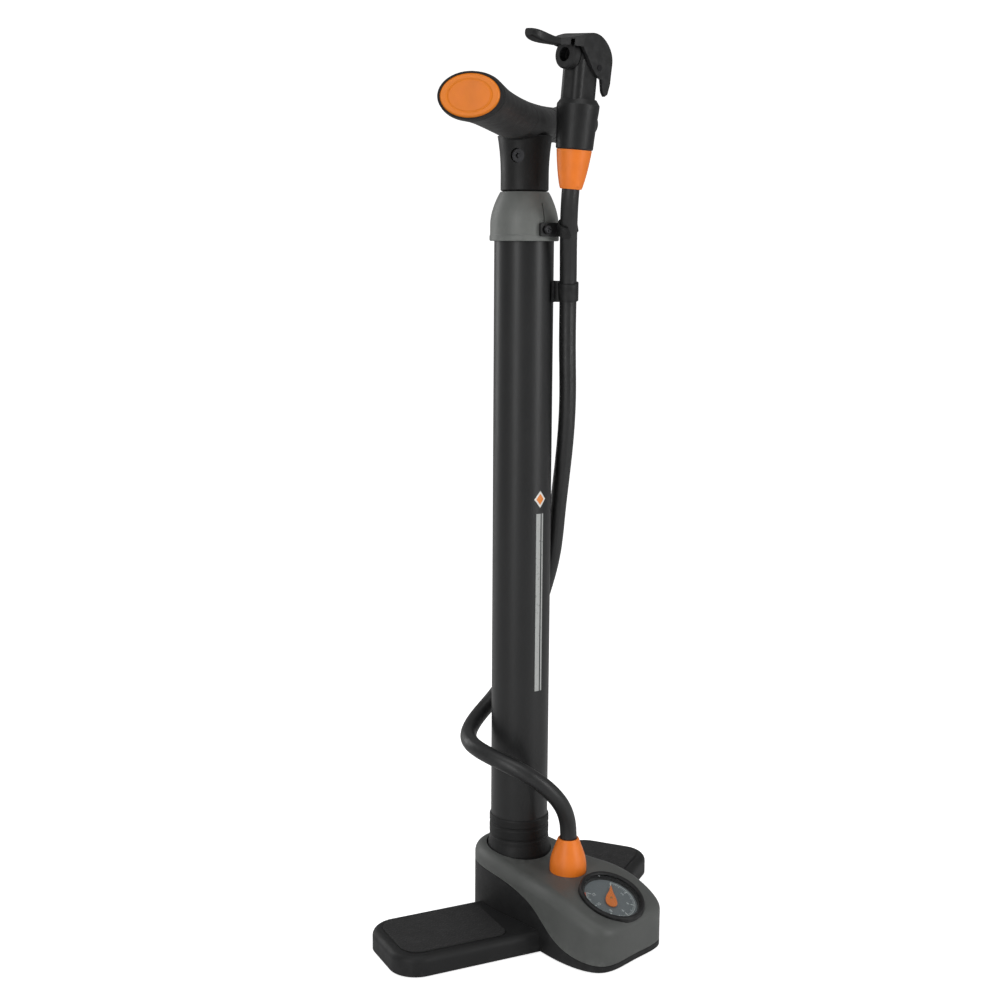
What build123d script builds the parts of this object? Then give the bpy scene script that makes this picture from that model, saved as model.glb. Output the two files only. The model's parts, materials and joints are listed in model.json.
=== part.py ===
from build123d import *
import os
from math import sin, cos, radians, sqrt

# Floor bike pump. Millimetres, +Z up, origin on the ground under the barrel's
# axis. X runs across the two feet, -Y points to the nose that holds the gauge.
# Every function named after a piece builds that piece and returns it.

os.makedirs("parts", exist_ok=True)

# ---------------------------------------------------------------- shared sizes
run = 0.05                 # radial clearance of every running fit

# barrel
barrel_r = 20.0            # outside radius of the tube
barrel_bore_r = 18.2
barrel_z0 = 14.0
barrel_z1 = 482.0
sleeve_bore_r = barrel_r + 0.05       # parts pushed over the tube
bore_fit_r = barrel_bore_r - 0.3      # parts standing inside the tube

# base
sole_t = 3.0               # rubber soles, lowest thing on the pump
base_z0 = 1.2              # underside of the base, its soles set into it
floor_z = 8.0              # inside floor of the hub
foot_y0 = -32.0            # where the two feet's centre lines meet
foot_sweep = 20.5          # degrees each foot is swept back
foot_len = 128.0
foot_w = 66.0
foot_corner_r = 19.0
foot_round = 5.0           # rounding of the feet's top edges
foot_top = 15.0            # top of the foot under its tread
tread_t = 0.8
tread_sink = 0.75          # depth of the tread in its seat
hub_r = 31.0               # outline of the hub behind the barrel
nose_half_w = 38.5
nose_front = -107.0
wall = 2.6
seam = 0.4                 # gap along the line where cover and body meet
boss_r = 22.6
boss_top = 44.0
opening_r = 23.0           # opening of the cover around the barrel
air_way_z = 11.0           # height of the air way from barrel to manifold
base_screw_places = [(-23, -72), (23, -72), (-26.5, -30), (26.5, -30)]
base_screw_top = 12.0

# gauge, set in the sloping face of the nose
gauge_y = -86.0
gauge_z = 39.4
gauge_tilt = 22.0
bezel_r = 23.2
needle_rest = 43.0         # degrees from +X, pointing at zero

# hose
hose_r = 5.75
hose_bore_r = 3.0
hose_sections = 58
hose_grip_r = 6.1          # bore of the clips around the hose
inlet_y = -46.5            # hose connection in front of the barrel
boot_base_r = 12.7
boot_base_top = 70.0
boot_bore_r = hose_r + 0.45

# top of the barrel
collar_z0 = 476.0
collar_z1 = 508.0
collar_r = 23.2
collar_clip_dir = 12.0     # where the clip's screw sits, degrees from -Y towards -X
clip_z = 483.4             # height of the collar clip's screw
barrel_clip_z = 443.0      # middle of the lower hose clip

# plunger and handle
rod_r = 6.0
rod_bore_r = rod_r + run
handle_dir = 24.8          # direction of the handle about Z, degrees from +X
neck_z0 = 508.5
neck_r = 16.0
hub_z = 552.4              # middle of the grip's section at the rod
wing_rise = 7.8            # how much higher the section is at the ends
wing_len = 108.0
bolt_z = 531.0

# hose head, parked upright beside the handle
head_base = Vector(-1.8, -42.0, 509.0)
head_axis = Vector(1.7, -5.3, 66.0).normalized()
chuck_h = 82.0             # height of the valve mouth above the head's base
chamber_r = 6.7            # chamber behind the valve mouth
pivot_u = -4.5             # lever pin, on the side away from the mouth
pivot_h = 76.0
pin_r = 2.0

# ---------------------------------------------------------------- frames
# gauge: x across, y up the sloping face, z out of the face
gauge_n = Vector(0, -sin(radians(gauge_tilt)), cos(radians(gauge_tilt)))
gauge_plane = Plane(origin=(0, gauge_y, gauge_z), x_dir=(1, 0, 0), z_dir=gauge_n)

# hose head: u to the valve mouth, w to the front, h up
mouth_dir = Vector(-1, 0.035, 0)
head_u = (mouth_dir - head_axis * mouth_dir.dot(head_axis)).normalized()
head_w = head_axis.cross(head_u)
head_z_axis = Axis(head_base, head_axis)
# side view of the head: x = u (or radius), y = h
head_side = Plane(origin=head_base, x_dir=head_u, z_dir=head_w * -1)

# handle bolt: z along the handle, x across it
handle_angle = radians(handle_dir)
bolt_plane = Plane(origin=(0, 0, bolt_z), x_dir=(-sin(handle_angle), cos(handle_angle), 0),
                   z_dir=(cos(handle_angle), sin(handle_angle), 0))


def head_point(u, h):
    return head_base + head_u * u + head_axis * h


def head_cross(u):
    """Plane across the valve mouth at distance u: x = w, y = h, normal = u."""
    return Plane(origin=head_point(u, 0), x_dir=head_w, z_dir=head_u)


def head_level(u, h):
    """Plane square to the head's axis: x = u, normal = h."""
    return Plane(origin=head_point(u, h), x_dir=head_u, z_dir=head_axis)


def handle_plane(s):
    """Section plane at distance s along the handle, x across, y up."""
    z = hub_z + wing_rise * (abs(s) / wing_len) ** 1.3
    return Plane(origin=(s * cos(handle_angle), s * sin(handle_angle), z),
                 x_dir=(-sin(handle_angle), cos(handle_angle), 0),
                 z_dir=(cos(handle_angle), sin(handle_angle), 0))


def clip_face(z):
    """Upright plane on the barrel's axis that faces the collar clip's screw."""
    angle = radians(collar_clip_dir)
    return Plane(origin=(0, 0, z), x_dir=(cos(angle), -sin(angle), 0),
                 z_dir=(-sin(angle), -cos(angle), 0))


def foot_plane(side, z):
    """Level plane with x along one foot; side is -1 for left, 1 for right."""
    angle = radians(foot_sweep)
    return Plane(origin=(0, foot_y0, z), x_dir=(side * cos(angle), sin(angle), 0),
                 z_dir=(0, 0, 1))


# ---------------------------------------------------------------- helpers
def save(part, name):
    part.label = name
    export_step(part, "parts/" + name + ".step")


def turned(profile, plane=Plane.XZ, axis=Axis.Z):
    """Closed (radius, height) profile revolved about an axis."""
    with BuildPart() as piece:
        with BuildSketch(plane):
            with BuildLine():
                Polyline(*profile, close=True)
            make_face()
        revolve(axis=axis)
    return piece.part


def ring(plane, outer_r, inner_r, height, centre=(0, 0)):
    with BuildPart() as piece:
        with BuildSketch(plane):
            with Locations(centre):
                Circle(outer_r)
                Circle(inner_r, mode=Mode.SUBTRACT)
        extrude(amount=height)
    return piece.part


def inset(points, distance):
    """The same closed outline, moved inwards by distance at every point."""
    moved = []
    for i, (x, y) in enumerate(points):
        x_before, y_before = points[i - 1]
        x_after, y_after = points[(i + 1) % len(points)]
        dx, dy = x_after - x_before, y_after - y_before
        length = sqrt(dx * dx + dy * dy)
        moved.append((x - dy / length * distance, y + dx / length * distance))
    return moved


def closed_outline(points):
    with BuildSketch() as outline:
        with BuildLine():
            Spline(points, periodic=True)
        make_face()
    return outline


def foot_pad(pad, grow=0.0):
    """Rounded rectangle along a foot, grown by a margin all round."""
    start, length, width, outer_corner_r, inner_corner_r = pad
    with BuildSketch() as outline:
        with Locations((start - grow, 0)):
            Rectangle(length + 2 * grow, width + 2 * grow, align=(Align.MIN, Align.CENTER))
        fillet(outline.vertices().group_by(Axis.X)[-1], outer_corner_r + grow)
        if inner_corner_r:
            fillet(outline.vertices().group_by(Axis.X)[0], inner_corner_r + grow)
    return outline


# ---------------------------------------------------------------- base outlines
# outline of the hub from above, (x, y)
hub_diagonal = hub_r * 0.7071
hub_points = [
    (0, hub_r), (-hub_diagonal, hub_diagonal), (-hub_r, 0), (-34.0, -40),
    (-nose_half_w, -80), (-32.0, -102.5), (0, nose_front), (32.0, -102.5),
    (nose_half_w, -80), (34.0, -40), (hub_r, 0), (hub_diagonal, hub_diagonal)]
hub_outline = closed_outline(hub_points)
hub_inside = closed_outline(inset(hub_points, wall))

# line of the cover's top and the sweeping line where cover meets body, (y, z)
line_back_y = 34
line_front_y = -114
seam_back_z = 42.2
seam_front_z = 4.6
top_line = [
    (line_back_y, 54.6), (12, 53.8), (-6, 51.6), (-22, 49.0), (-38, 46.9),
    (-56, 46.2), (-70, 44.0), (-86, 38.8), (-100, 33.1), (line_front_y, 27.4)]
seam_line = [
    (line_back_y, seam_back_z), (6, 41.4), (-13.4, 39.8), (-27.5, 36.4), (-42, 30.7),
    (-52, 24.6), (-61, 18.0), (-73.6, 11.4), (-88, 7.6), (line_front_y, seam_front_z)]

# pads on the feet: start, length, width, outer and inner corner radius
foot_shape = (0, foot_len, foot_w, foot_corner_r, 0)
tread_seat = (foot_len - 82, 75, foot_w - 13, foot_corner_r - 6.5, 8.0)
tread_gap = 0.3
foot_sole = (foot_len - 56, 52, foot_w - 8, foot_corner_r - 5, 0)
sole_gap = 0.2
# soles under the nose (a slot) and under the barrel (a disc)
nose_sole_y = -86
nose_sole_len = 46
nose_sole_w = 26
middle_sole_r = 12


# ---------------------------------------------------------------- base
def hub_lower():
    """Hub's floor and the wall below the seam."""
    with BuildPart() as hub:
        with BuildSketch(Plane.XY.offset(base_z0)):
            add(hub_outline.sketch)
        extrude(amount=60)
        with BuildSketch(Plane.XY.offset(floor_z)):
            add(hub_inside.sketch)
        extrude(amount=60, mode=Mode.SUBTRACT)
        with BuildSketch(Plane.YZ):
            with BuildLine():
                low = Spline([(y, z - seam) for y, z in seam_line])
                Polyline(low @ 1, (line_front_y, 0), (line_back_y, 0), low @ 0)
            make_face()
        extrude(amount=50, both=True, mode=Mode.INTERSECT)
    return hub.part


def base_body():
    """Two feet, the hub's lower wall and the boss that holds the barrel."""
    foot = foot_pad(foot_shape)
    seat = foot_pad(tread_seat)
    sole_pocket = foot_pad(foot_sole, sole_gap)
    hub = hub_lower()
    with BuildPart() as body:
        for side in (-1, 1):
            with BuildSketch(foot_plane(side, base_z0)):
                add(foot.sketch)
            extrude(amount=foot_top - base_z0)
        fillet(body.edges().group_by(Axis.Z)[-1], foot_round)
        # seat for the tread on each foot
        for side in (-1, 1):
            with BuildSketch(foot_plane(side, foot_top - 0.8)):
                add(seat.sketch)
            extrude(amount=5, mode=Mode.SUBTRACT)
        # clear the hub's inside, then set the hub's wall in
        with BuildSketch(Plane.XY.offset(floor_z)):
            add(hub_inside.sketch)
        extrude(amount=20, mode=Mode.SUBTRACT)
        add(hub)
        # boss
        with BuildSketch(Plane.XY.offset(base_z0)):
            Circle(boss_r)
        extrude(amount=boss_top - base_z0)
        with BuildSketch(Plane.XY.offset(barrel_z0)):
            Circle(barrel_r + 0.03)
        extrude(amount=60, mode=Mode.SUBTRACT)
        # air way: down from the barrel, then forward to the manifold
        with BuildSketch(Plane.XY.offset(8.2)):
            Circle(2.5)
        extrude(amount=10.8, mode=Mode.SUBTRACT)
        for start, radius, depth in ((0, 2.0, 30), (19.8, 4.05, 12)):
            with BuildSketch(Plane.XZ.offset(start)):
                with Locations((0, air_way_z)):
                    Circle(radius)
            extrude(amount=depth, mode=Mode.SUBTRACT)
        # screw holes with wider mouths for the heads
        for radius, depth in ((1.8, base_screw_top), (3.6, sole_t)):
            with BuildSketch(Plane.XY):
                with Locations(*base_screw_places):
                    Circle(radius)
            extrude(amount=depth, mode=Mode.SUBTRACT)
        # shallow seats for the soles
        for side in (-1, 1):
            with BuildSketch(foot_plane(side, 0)):
                add(sole_pocket.sketch)
            extrude(amount=sole_t, mode=Mode.SUBTRACT)
        with BuildSketch():
            with Locations((0, nose_sole_y)):
                SlotOverall(nose_sole_len + 2 * sole_gap, nose_sole_w + 2 * sole_gap)
            Circle(middle_sole_r + sole_gap)
        extrude(amount=sole_t, mode=Mode.SUBTRACT)
    return body.part


def cover_void():
    """Space under the cover."""
    with BuildPart() as void:
        with BuildSketch():
            add(hub_inside.sketch)
        extrude(amount=70)
        with BuildSketch(Plane.YZ):
            with BuildLine():
                under = Spline([(y, z - wall) for y, z in top_line])
                Polyline(under @ 1, (line_front_y, 0), (line_back_y, 0), under @ 0)
            make_face()
        extrude(amount=50, both=True, mode=Mode.INTERSECT)
    return void.part


def base_cover():
    """Shell over the hub and nose, down to the seam."""
    void = cover_void()
    with BuildPart() as cover:
        with BuildSketch():
            add(hub_outline.sketch)
        extrude(amount=75)
        with BuildSketch(Plane.YZ):
            with BuildLine():
                crown = Spline(top_line)
                Polyline(crown @ 1, (line_front_y, 0), (line_back_y, 0), crown @ 0)
            make_face()
        extrude(amount=50, both=True, mode=Mode.INTERSECT)
        fillet(cover.edges().filter_by(Axis.Z, reverse=True).filter_by(
            lambda edge: edge.center().Z > 25), 8.0)
        add(void, mode=Mode.SUBTRACT)
        # trimmed along the sweeping line
        with BuildSketch(Plane.YZ):
            with BuildLine():
                trim = Spline(seam_line)
                Polyline(trim @ 1, (-125, seam_front_z), (-125, -5), (40, -5),
                         (40, seam_back_z), trim @ 0)
            make_face()
        extrude(amount=50, both=True, mode=Mode.SUBTRACT)
        # round opening for the barrel and hole for the hose boot
        with BuildSketch(Plane.XY.offset(20)):
            Circle(opening_r)
            with Locations((0, inlet_y)):
                Circle(boot_base_r + 0.2)
        extrude(amount=60, mode=Mode.SUBTRACT)
        # stepped well for the gauge
        for start, radius, depth in ((-2.2, bezel_r + 0.25, 30), (-9, 20.9, 10)):
            with BuildSketch(gauge_plane.offset(start)):
                Circle(radius)
            extrude(amount=depth, mode=Mode.SUBTRACT)
    return cover.part


def foot_tread(side):
    outline = foot_pad(tread_seat, -tread_gap)
    with BuildPart() as tread:
        with BuildSketch(foot_plane(side, foot_top - tread_sink)):
            add(outline.sketch)
        extrude(amount=tread_t + tread_sink)
        fillet(tread.edges().group_by(Axis.Z)[-1], 0.6)
    return tread.part


def rubber_soles():
    """Four soles: one per foot, one under the nose, one under the barrel."""
    outline = foot_pad(foot_sole)
    with BuildPart() as soles:
        for side in (-1, 1):
            with BuildSketch(foot_plane(side, 0)):
                add(outline.sketch)
            extrude(amount=sole_t)
        with BuildSketch():
            with Locations((0, nose_sole_y)):
                SlotOverall(nose_sole_len, nose_sole_w)
            Circle(middle_sole_r)
        extrude(amount=sole_t)
    return soles.part


def base_screws():
    """Cross-slotted screws, heads down."""
    head_z = 0.6
    shank_z = 2.9
    with BuildPart() as screws:
        for place in base_screw_places:
            with BuildSketch(Plane.XY.offset(head_z)):
                with Locations(place):
                    Circle(3.2)
            extrude(amount=shank_z - head_z)
            with BuildSketch(Plane.XY.offset(shank_z)):
                with Locations(place):
                    Circle(1.7)
            extrude(amount=base_screw_top - shank_z)
            with BuildSketch(Plane.XY.offset(head_z)):
                with Locations(place):
                    Rectangle(3.6, 0.8)
                    Rectangle(0.8, 3.6)
            extrude(amount=1.2, mode=Mode.SUBTRACT)
    return screws.part


# ---------------------------------------------------------------- barrel
def barrel_socket():
    """Grooved sleeve around the foot of the barrel."""
    socket_z0 = boss_top + 0.1
    return turned([
        (sleeve_bore_r, socket_z0), (22.5, socket_z0), (22.6, 51.0), (21.9, 54.5),
        (21.2, 57.6), (20.95, 60.2), (20.6, 60.9), (20.6, 62.1), (20.95, 62.8),
        (21.0, 68.4), (20.65, 69.1), (20.65, 70.5), (21.0, 71.2), (20.95, 75.6),
        (20.5, 76.6), (sleeve_bore_r, 76.8)])


def barrel():
    return ring(Plane.XY.offset(barrel_z0 + 0.02), barrel_r, barrel_bore_r,
                barrel_z1 - barrel_z0)


# ---------------------------------------------------------------- check valve
groove_r = 16.0            # bottom of the seat's seal groove
groove_z0, groove_z1 = 16.6, 19.4


def valve_seat():
    """Plug at the foot of the bore, with a seal groove."""
    with BuildPart() as seat:
        with BuildSketch(Plane.XZ):
            with BuildLine():
                Polyline((0, 14.05), (bore_fit_r, 14.05), (bore_fit_r, groove_z0),
                         (groove_r, groove_z0), (groove_r, groove_z1),
                         (bore_fit_r, groove_z1), (bore_fit_r, 22.0), (0, 22.0), close=True)
            make_face()
        revolve(axis=Axis.Z)
        # chamber for disc and spring, then the port above it
        for start, radius, depth in ((14.0, 6.5, 5.0), (18.0, 3.0, 6.0)):
            with BuildSketch(Plane.XY.offset(start)):
                Circle(radius)
            extrude(amount=depth, mode=Mode.SUBTRACT)
    return seat.part


def seat_seal():
    return ring(Plane.XY.offset(groove_z0 + 0.2), barrel_bore_r - 0.1, groove_r + 0.1, 2.4)


def check_valve_disc():
    return turned([(0, 17.3), (5.6, 17.3), (5.6, 18.98), (0, 18.98)])


def check_valve_spring():
    with BuildPart() as spring:
        with BuildLine() as coil:
            Helix(pitch=0.9, height=2.3, radius=3.9)
        with BuildSketch(Plane(origin=coil.line @ 0, z_dir=coil.line % 0)):
            Circle(0.3)
        sweep(path=coil.line, is_frenet=True)
    return Pos(0, 0, 14.5) * spring.part


# ---------------------------------------------------------------- manifold
pipe_z = 14.0              # height of the gauge pipe's socket


def air_manifold():
    """Block under the hose connection, with a spigot back to the barrel."""
    with BuildPart() as manifold:
        with BuildSketch(Plane.XY.offset(8.1)):
            with Locations((0, inlet_y)):
                RectangleRounded(17, 15, 2)
        extrude(amount=30.9)
        with BuildSketch(Plane.XZ.offset(20.0)):
            with Locations((0, air_way_z)):
                Circle(3.95)
        extrude(amount=22)
        with BuildSketch(Plane.XY.offset(8.2)):
            with Locations((0, inlet_y - 12.0)):
                RectangleRounded(12, 14, 2)
        extrude(amount=11.8)
        # flat underside, clear of the hub's floor
        with BuildSketch(Plane.XY.offset(5)):
            with Locations((0, -30)):
                Rectangle(20, 40)
        extrude(amount=3.1, mode=Mode.SUBTRACT)
        # air ways, and the wider bore for the hose fitting
        with BuildSketch(Plane.XZ.offset(19)):
            with Locations((0, air_way_z)):
                Circle(1.8)
        extrude(amount=40, mode=Mode.SUBTRACT)
        for start, radius in ((10, 1.8), (26, 5.05)):
            with BuildSketch(Plane.XY.offset(start)):
                with Locations((0, inlet_y)):
                    Circle(radius)
            extrude(amount=40, mode=Mode.SUBTRACT)
        # socket for the gauge's pipe
        with BuildSketch(Plane.XZ.offset(59.5)):
            with Locations((0, pipe_z)):
                Circle(2.5)
        extrude(amount=10, mode=Mode.SUBTRACT)
    return manifold.part


def gauge_pipe():
    pipe_start = (0, -59.6, pipe_z)
    stem_end = gauge_plane.from_local_coords((0, 0, -16.6))
    with BuildPart() as pipe:
        with BuildLine() as pipe_path:
            Spline(pipe_start, (0, -70, 14.2), stem_end,
                   tangents=[(0, -1, 0), (gauge_n.X, gauge_n.Y, gauge_n.Z)])
        with BuildSketch(Plane(origin=pipe_start, z_dir=(0, -1, 0))):
            Circle(2.0)
            Circle(1.0, mode=Mode.SUBTRACT)
        sweep(path=pipe_path.line)
    return pipe.part


# ---------------------------------------------------------------- hose
# centre line: up out of the base, round behind the barrel, up to the head
with BuildLine() as hose_line:
    Spline((0, inlet_y, 43.8), (0, inlet_y, 52.0), (0, inlet_y, 61.0),
           (0, inlet_y, boot_base_top + 1.0),
           (-2.6, -46.9, 85), (-12.4, -45.2, 102), (-28.7, -32.5, 119.5),
           (-37.0, -11.7, 127.5), (-36.8, 7.3, 131), (-28.2, 23.0, 133.5),
           (-9.9, 32.4, 141), (9.1, 32.7, 153), (24.3, 22.2, 184), (30.5, 8.9, 226),
           (31.5, -0.6, 258), (29.8, -6.5, 290), (27.0, -14.0, 330),
           (23.8, -19.6, 370), (21.3, -21.0, 405), (18.2, -23.6, 443),
           (6.2, -33.8, 484), head_point(0, -1.0), head_point(0, 7.0),
           head_point(0, 14.0), head_point(0, 21.0),
           tangents=[(0, 0, 1), (head_axis.X, head_axis.Y, head_axis.Z)])
hose_run = hose_line.edges()[0]


def hose_at_height(target_z):
    """Point and direction of the hose's centre line at a height."""
    low, high = 0.0, 1.0
    for _ in range(40):
        middle = (low + high) / 2
        if (hose_run @ middle).Z < target_z:
            low = middle
        else:
            high = middle
    found = (low + high) / 2
    return hose_run @ found, hose_run % found


def hose_planes():
    """Sections square to the hose's run, carried along without twist."""
    planes = []
    section_x = Vector(1, 0, 0)
    for k in range(hose_sections + 1):
        centre = hose_run @ (k / hose_sections)
        tangent = hose_run % (k / hose_sections)
        section_x = (section_x - tangent * section_x.dot(tangent)).normalized()
        planes.append(Plane(origin=centre, x_dir=section_x, z_dir=tangent))
    return planes


def hose():
    planes = hose_planes()
    with BuildPart() as tube:
        for radius, mode in ((hose_r, Mode.ADD), (hose_bore_r, Mode.SUBTRACT)):
            for section in planes:
                with BuildSketch(section):
                    Circle(radius)
            loft(mode=mode)
    return tube.part


def hose_fitting_base():
    return Pos(0, inlet_y, 0) * turned([
        (1.6, 26.2), (5.0, 26.2), (5.0, 39.2), (7.5, 39.2), (7.5, 43.0),
        (2.7, 43.0), (2.7, 59.0), (2.2, 60.0), (1.6, 60.0)])


def hose_boot_base():
    with BuildPart() as boot:
        with BuildSketch(Plane.XZ):
            with BuildLine():
                Polyline((boot_bore_r, 43.6), (8.5, 43.6), (8.5, 41.0), (12.2, 41.0),
                         (12.2, 44.0), (boot_base_r, 46.4), (boot_base_r, 50.0))
                taper = Spline((boot_base_r, 50.0), (11.0, 59.5), (7.5, boot_base_top - 0.8),
                               tangents=[(0, 1), (-0.32, 1)])
                Polyline(taper @ 1, (7.0, boot_base_top), (boot_bore_r, boot_base_top),
                         (boot_bore_r, 43.6))
            make_face()
        revolve(axis=Axis.Z)
    return Pos(0, inlet_y, 0) * boot.part


def hose_boot_head():
    top = 24.6
    with BuildPart() as boot:
        with BuildSketch(head_side):
            with BuildLine():
                Polyline((boot_bore_r, 0), (6.8, 0), (7.3, 0.8))
                flare = Spline((7.3, 0.8), (9.6, 11.0), (11.4, top),
                               tangents=[(0.3, 1), (0.1, 1)])
                Polyline(flare @ 1, (boot_bore_r, top), (boot_bore_r, 0))
            make_face()
        revolve(axis=head_z_axis)
    return boot.part


def hose_fitting_head():
    return turned([
        (1.6, 3.0), (2.2, 3.0), (2.7, 4.0), (2.7, 21.4), (5.5, 21.4),
        (5.5, 24.7), (4.0, 24.7), (4.0, 39.8), (1.6, 39.8)], head_side, head_z_axis)


# ---------------------------------------------------------------- gauge
# The needle's shaft is on the gauge's axis, the sector's pivot below it.
sector_y = -10.0
sector_r = 8.45


def gauge_case():
    """Cup with a stem at the back and a hole through both."""
    with BuildPart() as case:
        for start, radius, depth, mode in ((-14.0, 20.6, 13.2, Mode.ADD),
                                           (-12.5, 19.2, 20, Mode.SUBTRACT),
                                           (-16.5, 4.0, 2.6, Mode.ADD),
                                           (-20, 1.2, 9, Mode.SUBTRACT)):
            with BuildSketch(gauge_plane.offset(start)):
                Circle(radius)
            extrude(amount=depth, mode=mode)
    return case.part


def gauge_dial():
    return ring(gauge_plane.offset(-3.4), 19.0, 0.95, 0.8)


def bourdon_tube():
    with BuildPart() as tube:
        with BuildLine(gauge_plane.offset(-10.0)) as tube_path:
            CenterArc((0, 0), 14.5, -80, 250)
        with BuildSketch(Plane(origin=tube_path.line @ 0, z_dir=tube_path.line % 0,
                               x_dir=(gauge_n.X, gauge_n.Y, gauge_n.Z))):
            Ellipse(1.9, 1.1)
            Ellipse(1.5, 0.7, mode=Mode.SUBTRACT)
        sweep(path=tube_path.line)
    return tube.part


def gauge_sector():
    arc_start, arc_middle, arc_end = [
        (sector_r * cos(radians(angle)), sector_y + sector_r * sin(radians(angle)))
        for angle in (36, 66, 96)]
    with BuildPart() as sector:
        with BuildSketch(gauge_plane.offset(-6.4)):
            with Locations((0, sector_y)):
                Circle(1.6)
            with BuildLine():
                ThreePointArc(arc_start, arc_middle, arc_end)
                Polyline(arc_end, (-1.2, -10.4), (1.2, -10.4), arc_start)
            make_face()
            with Locations((0, sector_y)):
                Circle(0.8, mode=Mode.SUBTRACT)
        extrude(amount=1.0)
    return sector.part


def gauge_movement():
    """Plate and posts that carry the sector's pivot and the needle's shaft."""
    with BuildPart() as movement:
        with BuildSketch(gauge_plane.offset(-8.0)):
            SlotCenterToCenter(16, 8, rotation=90)
            Circle(0.82, mode=Mode.SUBTRACT)
        extrude(amount=1.0)
        with BuildSketch(gauge_plane.offset(-12.45)):
            with Locations((0, 6.5), (0, -6.5)):
                Circle(1.4)
        extrude(amount=4.6)
        with BuildSketch(gauge_plane.offset(-7.2)):
            with Locations((0, sector_y)):
                Circle(0.75)
        extrude(amount=2.4)
    return movement.part


def gauge_pinion():
    with BuildPart() as pinion:
        for start, radius, height in ((-8.6, 0.77, 7.6), (-6.6, 1.5, 1.4)):
            with BuildSketch(gauge_plane.offset(start)):
                Circle(radius)
            extrude(amount=height)
    return pinion.part


def gauge_needle():
    needle_x = gauge_plane.x_dir.rotate(Axis((0, 0, 0), gauge_n), needle_rest)
    tip, tail = (13.4, 0), (-8.6, 0)
    with BuildPart() as needle:
        with BuildSketch(Plane(origin=gauge_plane.offset(-1.9).origin,
                               x_dir=needle_x, z_dir=gauge_n)):
            with BuildLine():
                Spline(tip, (6.5, 1.5), (-1.5, 3.9), tail, tangents=[(-1, 0.25), (0, -1)])
                Spline(tail, (-1.5, -3.9), (6.5, -1.5), tip, tangents=[(0, -1), (1, 0.25)])
            make_face()
            Circle(0.79, mode=Mode.SUBTRACT)
        extrude(amount=0.7)
    return needle.part


def gauge_lens():
    with BuildPart() as lens:
        with BuildSketch(gauge_plane.offset(-0.7)):
            Circle(20.8)
        extrude(amount=1.4)
        # outer face's rim
        fillet(lens.edges().filter_by(GeomType.CIRCLE).sort_by(
            lambda edge: (edge.center() - gauge_plane.origin).dot(gauge_n))[-1], 0.5)
    return lens.part


def gauge_bezel():
    profile_plane = Plane(origin=gauge_plane.origin, x_dir=(1, 0, 0),
                          z_dir=gauge_plane.y_dir * -1)
    return turned([
        (20.9, -2.1), (bezel_r, -2.1), (bezel_r, 1.0), (22.4, 2.0), (21.2, 2.0),
        (20.3, 1.0), (20.3, 0.8), (20.9, 0.8)],
        profile_plane, Axis(gauge_plane.origin, gauge_n))


# ---------------------------------------------------------------- barrel top
def top_collar():
    """Domed collar that closes the barrel and holds the wiper."""
    inside_z = 482.2
    rod_hole_r = 7.0
    wiper_groove_r = 9.6
    with BuildPart() as collar:
        with BuildSketch(Plane.XZ):
            with BuildLine():
                Polyline((sleeve_bore_r, inside_z), (sleeve_bore_r, collar_z0 + 0.6),
                         (20.9, collar_z0), (22.7, collar_z0), (collar_r, 476.8),
                         (collar_r, 479.2), (22.8, 480.2), (22.8, 486.0))
                dome = Spline((22.8, 486.0), (22.2, 492.5), (20.2, 499.5), (17.0, 506.6),
                              tangents=[(0, 1), (-0.55, 1)])
                Polyline(dome @ 1, (16.2, collar_z1), (rod_hole_r, collar_z1),
                         (rod_hole_r, 504.5), (wiper_groove_r, 504.5),
                         (wiper_groove_r, 499.5), (rod_hole_r, 499.5),
                         (rod_hole_r, inside_z), (sleeve_bore_r, inside_z))
            make_face()
        revolve(axis=Axis.Z)
        # hole for the clip's screw and the slit above it
        with BuildSketch(clip_face(clip_z).offset(18.8)):
            Circle(1.55)
        extrude(amount=8, mode=Mode.SUBTRACT)
        with BuildSketch(clip_face(493.5).offset(19.0)):
            Rectangle(0.9, 14)
        extrude(amount=8, mode=Mode.SUBTRACT)
    return collar.part


def rod_bush():
    bush_r = barrel_bore_r - 0.1
    return turned([(rod_bore_r, 470.0), (bush_r, 470.0), (bush_r, 482.1),
                   (rod_bore_r, 482.1)])


def rod_wiper():
    with BuildPart() as wiper:
        with BuildSketch(Plane.XY.offset(499.7)):
            Circle(9.5)
            Circle(rod_bore_r, mode=Mode.SUBTRACT)
        extrude(amount=4.6)
        fillet(wiper.edges().filter_by(GeomType.CIRCLE), 0.8)
    return wiper.part


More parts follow.
